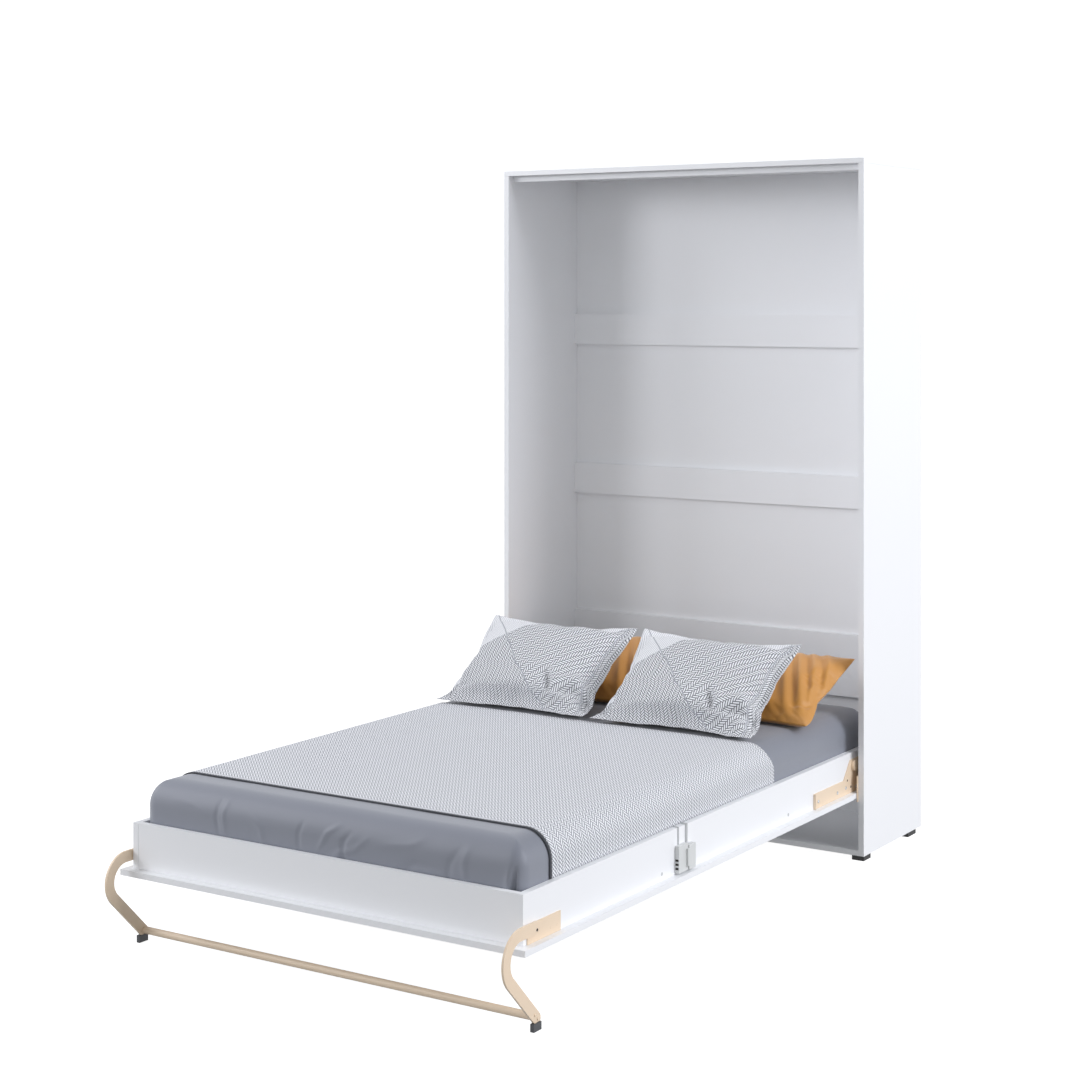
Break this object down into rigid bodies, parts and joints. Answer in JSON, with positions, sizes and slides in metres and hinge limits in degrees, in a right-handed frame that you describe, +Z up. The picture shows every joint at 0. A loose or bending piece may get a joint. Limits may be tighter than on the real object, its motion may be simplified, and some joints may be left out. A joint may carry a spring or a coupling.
{
  "type": "wall bed",
  "caption": "Vertical fold-down wall bed: a tall open-fronted cabinet, a bed frame that swings up into it on side pivots, and a folding foot leg.",
  "frame": {"origin": "bottom centre of the bounding box, on the floor", "axes": "+X to the right seen from the bed's foot, +Y from the foot towards the wall, +Z up"},
  "size_m": [1.341, 2.3994, 2.178],
  "materials": {
    "white_board": "white melamine on chipboard, satin",
    "beige_steel": "beige powder coat, satin",
    "zinc_steel": "zinc plated",
    "foot_plastic": "black moulded plastic",
    "pad_plastic": "charcoal moulded plastic",
    "birch": "bare laminated birch",
    "sheet_fabric": "smooth grey cotton sheet",
    "spread_fabric": "light grey woven cotton",
    "woven_fabric": "light grey patchwork weave",
    "mustard_fabric": "mustard velvet-like cotton",
    "buckle_plastic": "light grey moulded plastic",
    "webbing": "grey woven webbing",
    "strut_paint": "black gloss paint",
    "strut_chrome": "hard chromed rod"
  },
  "bodies": {
    "cabinet": {"top_panel": "white_board", "bottom_panel": "white_board", "back_panel": "white_board", "top_stop_rail": "white_board", "lower_back_rail": "white_board", "middle_back_rail": "white_board", "upper_back_rail": "white_board", "side_panel_left": "white_board", "side_panel_right": "white_board", "front_foot_left": "foot_plastic", "front_foot_right": "foot_plastic", "rear_foot_left": "foot_plastic", "rear_foot_right": "foot_plastic", "pivot_plate_left": "beige_steel", "pivot_plate_right": "beige_steel", "pivot_pin_left": "zinc_steel", "pivot_pin_right": "zinc_steel", "strut_anchor_left": "beige_steel", "strut_anchor_right": "beige_steel"},
    "bed": {"foot_board": "white_board", "head_board": "white_board", "front_panel": "white_board", "mattress": "sheet_fabric", "bedspread": "spread_fabric", "strap_buckle": "buckle_plastic", "mattress_strap": "webbing", "side_rail_left": "white_board", "side_rail_right": "white_board", "slat_cleat_left": "birch", "slat_cleat_right": "birch", "bed_bracket_left": "beige_steel", "bed_bracket_right": "beige_steel", "bracket_bolt_left": "beige_steel", "bracket_bolt_right": "beige_steel", "leg_plate_left": "beige_steel", "leg_plate_right": "beige_steel", "leg_bolt_left": "zinc_steel", "leg_bolt_right": "zinc_steel", "pillow_mustard_left": "mustard_fabric", "pillow_mustard_right": "mustard_fabric", "pillow_woven_left": "woven_fabric", "pillow_woven_right": "woven_fabric", "slat_01": "birch", "slat_02": "birch", "slat_03": "birch", "slat_04": "birch", "slat_05": "birch", "slat_06": "birch", "slat_07": "birch", "slat_08": "birch", "slat_09": "birch"},
    "leg": {"leg_crossbar": "beige_steel", "leg_bar_left": "beige_steel", "leg_bar_right": "beige_steel", "leg_pad_left": "pad_plastic", "leg_pad_right": "pad_plastic"},
    "strut_body_left": {"strut_cylinder_left": "strut_paint"},
    "strut_shaft_left": {"strut_rod_left": "strut_chrome"},
    "strut_body_right": {"strut_cylinder_right": "strut_paint"},
    "strut_shaft_right": {"strut_rod_right": "strut_chrome"}
  },
  "joints": [
    {"name": "bed_fold", "type": "hinge", "parent": "cabinet", "child": "bed", "pos_m": [0, 0.7756, 0.22215], "axis": [-1, 0, 0], "range_deg": [0, 90], "deforming": ["pillow_mustard_left", "pillow_mustard_right", "pillow_woven_left", "pillow_woven_right"]},
    {"name": "leg_fold", "type": "hinge", "parent": "bed", "child": "leg", "pos_m": [0, -1.05525, 0.239], "axis": [-1, 0, 0], "range_deg": [0, 180]},
    {"name": "strut_swing_left", "type": "hinge", "parent": "cabinet", "child": "strut_body_left", "pos_m": [-0.641, 1.1256, 0.42515], "axis": [1, 0, 0], "range_deg": [0, 3.77]},
    {"name": "strut_slide_left", "type": "slide", "parent": "strut_body_left", "child": "strut_shaft_left", "axis": [0, -0.8305, -0.557], "range_m": [0, 0.08195]},
    {"name": "strut_swing_right", "type": "hinge", "parent": "cabinet", "child": "strut_body_right", "pos_m": [0.641, 1.1256, 0.42515], "axis": [1, 0, 0], "range_deg": [0, 3.77]},
    {"name": "strut_slide_right", "type": "slide", "parent": "strut_body_right", "child": "strut_shaft_right", "axis": [0, -0.8305, -0.557], "range_m": [0, 0.08195]}
  ],
  "couplings": [
    {"joint": "leg_fold", "follows": "bed_fold", "ratio": 2},
    {"joint": "strut_swing_left", "follows": "bed_fold", "ratio": 0.041685},
    {"joint": "strut_slide_left", "follows": "bed_fold", "m_per_rad": 0.052107},
    {"joint": "strut_swing_right", "follows": "bed_fold", "ratio": 0.041685},
    {"joint": "strut_slide_right", "follows": "bed_fold", "m_per_rad": 0.052107}
  ]
}
